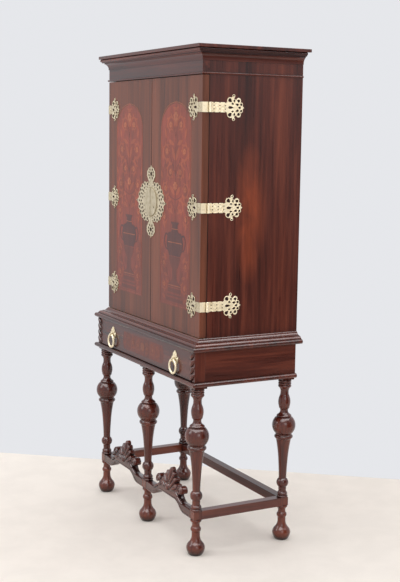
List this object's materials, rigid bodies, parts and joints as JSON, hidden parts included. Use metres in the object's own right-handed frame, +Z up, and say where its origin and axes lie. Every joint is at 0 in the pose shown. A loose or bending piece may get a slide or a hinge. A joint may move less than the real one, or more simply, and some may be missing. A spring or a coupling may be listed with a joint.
{
  "type": "cabinet on stand",
  "caption": "Two-door marquetry cabinet with shelves behind pierced brass hinges and lock plate, on a one-drawer stand with turned legs, carved front stretchers and ring pulls.",
  "frame": {"origin": "on the floor, under the middle of the overall box", "axes": "+X to the right seen from the front, -Y out of the doors, +Z up"},
  "size_m": [0.79, 0.4169, 1.6],
  "materials": {
    "walnut": "polished dark red-brown",
    "secondary_wood": "plain waxed",
    "marquetry": "polished inlaid veneer",
    "brass": "pale antique polish",
    "steel": "filed"
  },
  "bodies": {
    "cabinet": {"cornice": "walnut", "frieze_rail": "walnut", "frieze_bead": "walnut", "top_board": "walnut", "waist_moulding": "walnut", "case_side_left": "walnut", "case_side_right": "walnut", "stand_side_left": "walnut", "stand_side_right": "walnut", "stand_back": "walnut", "stand_post_left": "walnut", "stand_post_right": "walnut", "stand_base": "walnut", "stand_top": "walnut", "stretcher_left": "walnut", "stretcher_right": "walnut", "stretcher_back": "walnut", "carved_stretcher_left": "walnut", "carved_stretcher_right": "walnut", "leg_front_left": "walnut", "leg_front_middle": "walnut", "leg_front_right": "walnut", "leg_back_left": "walnut", "leg_back_right": "walnut", "foot_front_left": "walnut", "foot_front_middle": "walnut", "foot_front_right": "walnut", "foot_back_left": "walnut", "foot_back_right": "walnut", "case_bottom": "secondary_wood", "case_top": "secondary_wood", "case_back": "secondary_wood", "shelf_lower": "secondary_wood", "shelf_upper": "secondary_wood", "drawer_guides": "secondary_wood", "hinge_case_leaves": "brass", "hinge_pins": "brass", "shelf_pins": "brass"},
    "door_right": {"door_right": "walnut", "door_inlay_right": "marquetry", "hinge_door_leaves_right": "brass", "lock_plate_right": "brass", "lock_case": "brass"},
    "door_left": {"door_left": "walnut", "door_inlay_left": "marquetry", "hinge_door_leaves_left": "brass", "lock_plate_left": "brass", "lock_keeper": "brass", "door_bolt_guides": "brass"},
    "lock_bolt": {"lock_bolt": "steel"},
    "door_bolt_upper": {"door_bolt_upper": "brass"},
    "door_bolt_lower": {"door_bolt_lower": "brass"},
    "drawer": {"drawer_front": "walnut", "drawer_inlay": "marquetry", "drawer_sides": "secondary_wood", "drawer_back": "secondary_wood", "drawer_bottom": "secondary_wood", "pull_plates": "brass"},
    "pull_ring_left": {"pull_ring_left": "brass"},
    "pull_ring_right": {"pull_ring_right": "brass"}
  },
  "joints": [
    {"name": "door_right_swing", "type": "hinge", "parent": "cabinet", "child": "door_right", "pos_m": [0.3578, -0.14005, 1.105], "axis": [0, 0, 1], "range_deg": [0, 180]},
    {"name": "door_left_swing", "type": "hinge", "parent": "cabinet", "child": "door_left", "pos_m": [-0.3578, -0.14005, 1.105], "axis": [0, 0, -1], "range_deg": [0, 180]},
    {"name": "lock_bolt_slide", "type": "slide", "parent": "door_right", "child": "lock_bolt", "axis": [-1, 0, 0], "range_m": [0, 0.012]},
    {"name": "door_bolt_upper_slide", "type": "slide", "parent": "door_left", "child": "door_bolt_upper", "axis": [0, 0, 1], "range_m": [0, 0.01]},
    {"name": "door_bolt_lower_slide", "type": "slide", "parent": "door_left", "child": "door_bolt_lower", "axis": [0, 0, -1], "range_m": [0, 0.01]},
    {"name": "drawer_slide", "type": "slide", "parent": "cabinet", "child": "drawer", "axis": [0, -1, 0], "range_m": [0, 0.28]},
    {"name": "pull_ring_left_swing", "type": "hinge", "parent": "drawer", "child": "pull_ring_left", "pos_m": [-0.245, -0.20205, 0.616], "axis": [-1, 0, 0], "range_deg": [0, 100]},
    {"name": "pull_ring_right_swing", "type": "hinge", "parent": "drawer", "child": "pull_ring_right", "pos_m": [0.245, -0.20205, 0.616], "axis": [-1, 0, 0], "range_deg": [0, 100]}
  ]
}
